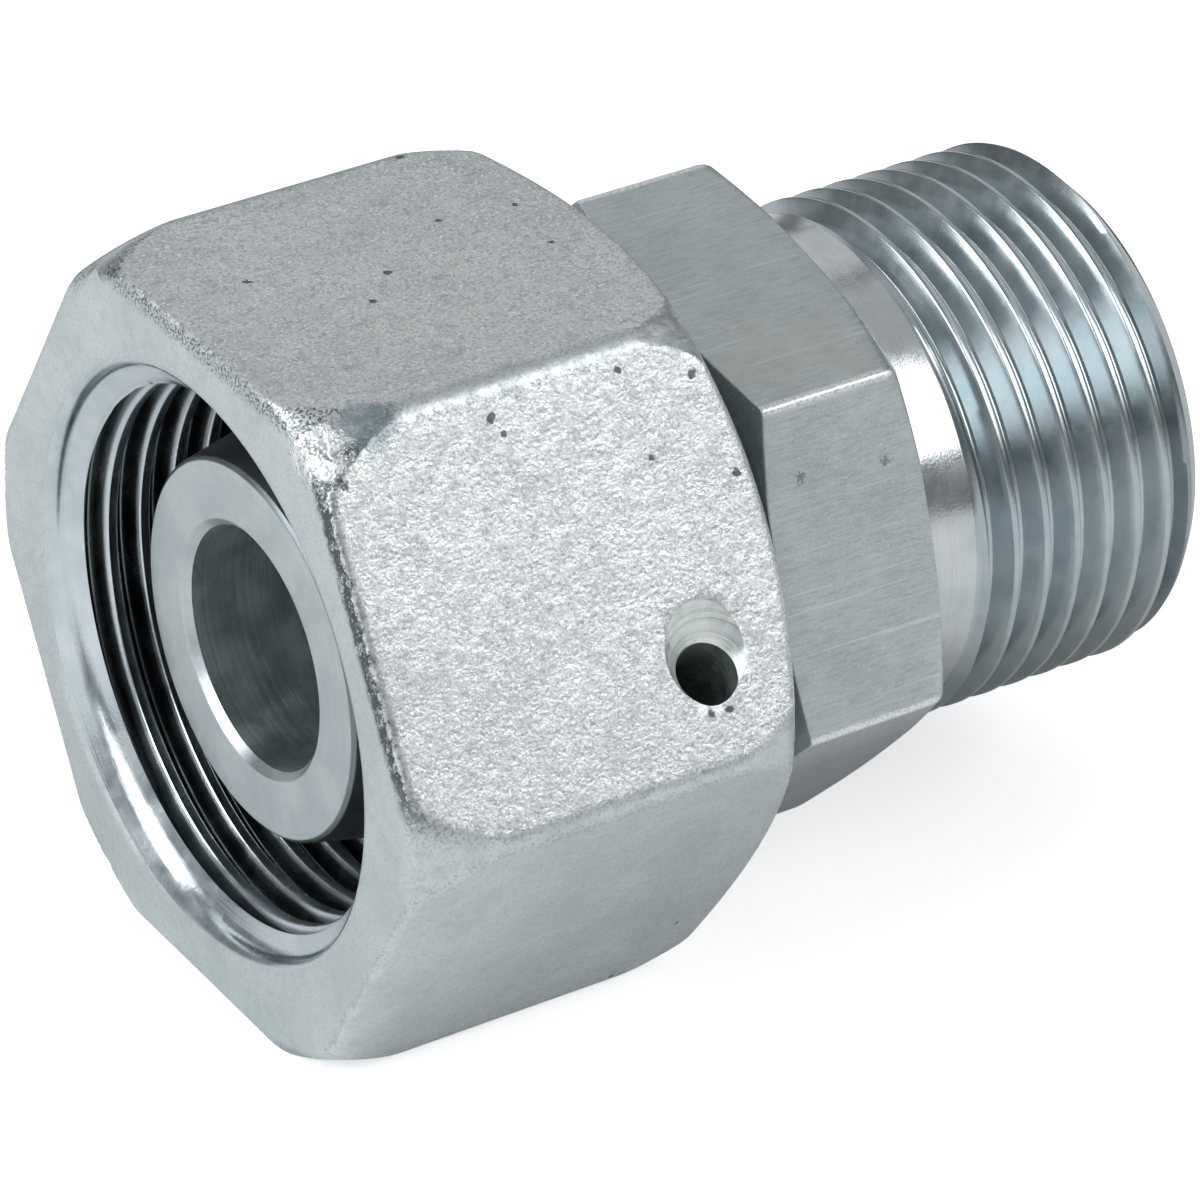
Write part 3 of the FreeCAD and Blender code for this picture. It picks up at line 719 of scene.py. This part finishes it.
# The relief gets painted shade on its lower side.
relief_zinc = turned_zinc("relief_zinc", (0.54, 0.58, 0.59), (0.66, 0.69, 0.695), 0.15, 0.22, 1.0, painted_underside_shade)
stud = turned_zinc("stud_zinc", (0.43, 0.50, 0.525), (0.54, 0.59, 0.61), 0.2, 0.27, 0.4, stud_end_tone_and_shade)
drawn = drawn_zinc()
rubber = plain("ring_rubber", 0.15, (0.012, 0.012, 0.013), (0.03, 0.03, 0.032), 0.01, 0.4, 0.6, metallic=0.0)
wire_steel = plain("wire_steel", 0.1, (0.38, 0.38, 0.39), (0.52, 0.52, 0.53), 0.006, 0.25, 0.4)

body_mesh = body.mesh("fitting_body_dressed")
body_piece = add(body_mesh, "fitting_body_dressed", [nose, drawn, stud, bore, relief_zinc])
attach(body_piece, "fitting")
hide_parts("fitting_body")

nut_mesh = nut.mesh("swivel_nut_dressed")
nut_piece = add(nut_mesh, "swivel_nut_dressed", [forged, mouth, bore])

# ------------------------------------------------ the countersunk feeding hole
angle, lean = math.radians(HOLE_ANGLE), math.radians(HOLE_LEAN)
start = Vector((WIRE_X, WIRE_R * math.cos(angle), WIRE_R * math.sin(angle))) + HOLE_SHIFT
out = Vector((0, math.sin(angle), -math.cos(angle)))
side = Vector((1, 0, 0))
up = out.cross(side)


def drill_mesh(sides=96):
    """The drill and its countersink, from the wire's groove out past the flat."""
    sink = (NUT_FLAT - WIRE_R * math.sin(lean)) / math.cos(lean) - SINK_DEPTH
    outline = [(0.0, 0.0), (0.0, HOLE_R), (sink + HOLE_R - 0.06, HOLE_R), (sink + HOLE_R - 0.01, 1.3),
               (sink + HOLE_R + 0.05, 1.345), (sink + SINK_R, SINK_R), (sink + SINK_R, 0.0)]
    turns = [2 * math.pi * k / sides for k in range(sides)]
    work = bmesh.new()
    rings = []
    for s, r in outline:
        places = [start + out * s + side * (r * math.cos(a)) + up * (r * math.sin(a)) for a in (turns if r else [0])]
        rings.append([work.verts.new(place * MM) for place in places])
    for a, b in zip(rings, rings[1:]):
        for k in range(sides):
            m = (k + 1) % sides
            if len(a) == 1:
                work.faces.new((a[0], b[k], b[m]))
            elif len(b) == 1:
                work.faces.new((a[k], a[m], b[0]))
            else:
                work.faces.new((a[k], a[m], b[m], b[k]))
    bmesh.ops.recalc_face_normals(work, faces=work.faces)
    mesh = bpy.data.meshes.new("cutter")
    work.to_mesh(mesh)
    work.free()
    return mesh


def drilled_zinc():
    """The hole and its countersink: marks around the drill's axis, a painted highlight on the countersink's edge."""
    p = Paint("drilled_zinc")
    from_start = p.vector_math("SUBTRACT", p.mm, start)
    along = p.vector_math("DOT_PRODUCT", from_start, out)
    across = p.vector_math("LENGTH", p.vector_math("CROSS_PRODUCT", from_start, out))
    marks = p.noise(0.16, 2.0, 0.6, vector=p.combine(along, across))
    cloud = p.noise(0.7, 2.0, 0.6, seed=2)
    colour = p.mix(p.ramp(cloud, 0.3, 0.7), (0.70, 0.75, 0.74), (0.84, 0.87, 0.86))
    colour = p.mix(p.ramp(marks, 0.5, 0.7, 0, 0.55), colour, (0.44, 0.50, 0.50))
    # Painted highlight: a bright band round the countersink's edge.
    painted_edge_highlight = p.times(p.ramp(across, 1.46, 1.38), p.ramp(cloud, 0.4, 0.55, 0.2, 1.0))
    colour = p.mix(painted_edge_highlight, colour, (0.97, 0.98, 0.98))
    colour = p.mix(p.ramp(across, 1.31, 1.29), colour, (0.52, 0.58, 0.57))
    p.bump(marks, 0.03)
    p.bump(cloud, 0.02)
    return p.finish(colour, p.ramp(cloud, 0.3, 0.7, 0.34, 0.48))


hole_zinc = drilled_zinc()
nut_mesh.materials.append(hole_zinc)
cutter_piece = add(drill_mesh(), "cutter", [hole_zinc])
cut = nut_piece.modifiers.new("hole", "BOOLEAN")
cut.operation, cut.solver, cut.object = "DIFFERENCE", "EXACT", cutter_piece
cut.material_mode = "TRANSFER"
bpy.context.view_layer.update()
cut_mesh = bpy.data.meshes.new_from_object(nut_piece.evaluated_get(bpy.context.evaluated_depsgraph_get()))
nut_piece.modifiers.clear()
nut_piece.data = cut_mesh
bpy.data.objects.remove(cutter_piece)
shade_smooth(cut_mesh)
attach(nut_piece, "nut")
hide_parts("swivel_nut")

for node, material in (("o_ring", rubber), ("retaining_wire", wire_steel)):
    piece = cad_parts[node]
    piece.data.materials.clear()
    piece.data.materials.append(material)
    piece.data.polygons.foreach_set("material_index", [0] * len(piece.data.polygons))

# ----------------------------------------------------------------------- stage
FLOOR = -0.015
floor_mesh = bpy.data.meshes.new("floor")
floor_mesh.from_pydata([(-2, -2, FLOOR), (2, -2, FLOOR), (2, 2, FLOOR), (-2, 2, FLOOR)], [], [(0, 1, 2, 3)])
floor_paint = bpy.data.materials.new("floor_white")
floor_paint.use_nodes = True
tree = floor_paint.node_tree
bsdf = tree.nodes["Principled BSDF"]
bsdf.inputs["Base Color"].default_value = (0.86, 0.86, 0.86, 1)
bsdf.inputs["Roughness"].default_value = 0.9
bsdf.inputs["Emission Color"].default_value = (1, 1, 1, 1)
path = tree.nodes.new("ShaderNodeLightPath")
glow = None
for ray, strength in (("Is Camera Ray", 0.6), ("Is Glossy Ray", 0.03), ("Is Transmission Ray", 0.1)):
    part = tree.nodes.new("ShaderNodeMath")
    part.operation = "MULTIPLY_ADD"
    tree.links.new(path.outputs[ray], part.inputs[0])
    part.inputs[1].default_value = strength
    part.inputs[2].default_value = 0
    if glow:
        tree.links.new(glow.outputs[0], part.inputs[2])
    glow = part
tree.links.new(glow.outputs[0], bsdf.inputs["Emission Strength"])
floor = add(floor_mesh, "floor", [floor_paint])

world = bpy.data.worlds.new("studio")
world.use_nodes = True
world.node_tree.nodes["Background"].inputs["Color"].default_value = (0.93, 0.96, 1.0, 1)
world.node_tree.nodes["Background"].inputs["Strength"].default_value = 0.22
bpy.context.scene.world = world


def lamp(name, azimuth, elevation, distance, width, height, power, colour=(1, 1, 1), aim=(-0.012, 0, 0)):
    """A soft area lamp. Azimuth 0 is in front, on the -Y side, and 90 is on +X."""
    data = bpy.data.lights.new(name, "AREA")
    data.shape = "RECTANGLE"
    data.size, data.size_y = width, height
    data.energy = power
    data.color = colour
    lamp_object = bpy.data.objects.new(name, data)
    a, e = math.radians(azimuth), math.radians(elevation)
    direction = Vector((math.sin(a) * math.cos(e), -math.cos(a) * math.cos(e), math.sin(e)))
    lamp_object.location = Vector(aim) + direction * distance
    lamp_object.rotation_euler = direction.to_track_quat("Z", "Y").to_euler()
    bpy.context.scene.collection.objects.link(lamp_object)


lamp("key", 42, 38, 0.8, 0.62, 0.44, 2.5)
lamp("left", -97, 37, 0.8, 0.65, 0.6, 5.3, (0.95, 0.98, 1.0))
lamp("back", 160, 35, 0.9, 0.9, 0.6, 0.8)
lamp("overhead", 80, 80, 0.8, 0.8, 0.8, 0.7)

camera_data = bpy.data.cameras.new("camera")
camera_data.lens, camera_data.sensor_width = 231.25, 36
camera = bpy.data.objects.new("camera", camera_data)
eye, aim = Vector((-0.159096, -0.222599, 0.163318)), Vector((-0.015899, -0.002759, -0.000933))
forward = (aim - eye).normalized()
right = forward.cross(Vector((0, 0, 1))).normalized()
down = forward.cross(right)
roll = math.radians(0.958)
right, down = math.cos(roll) * right - math.sin(roll) * down, math.sin(roll) * right + math.cos(roll) * down
camera.matrix_world = Matrix.Translation(eye) @ Matrix((right, -down, -forward)).transposed().to_4x4()
bpy.context.scene.collection.objects.link(camera)
bpy.context.scene.camera = camera
bpy.context.scene.view_settings.view_transform = "Standard"
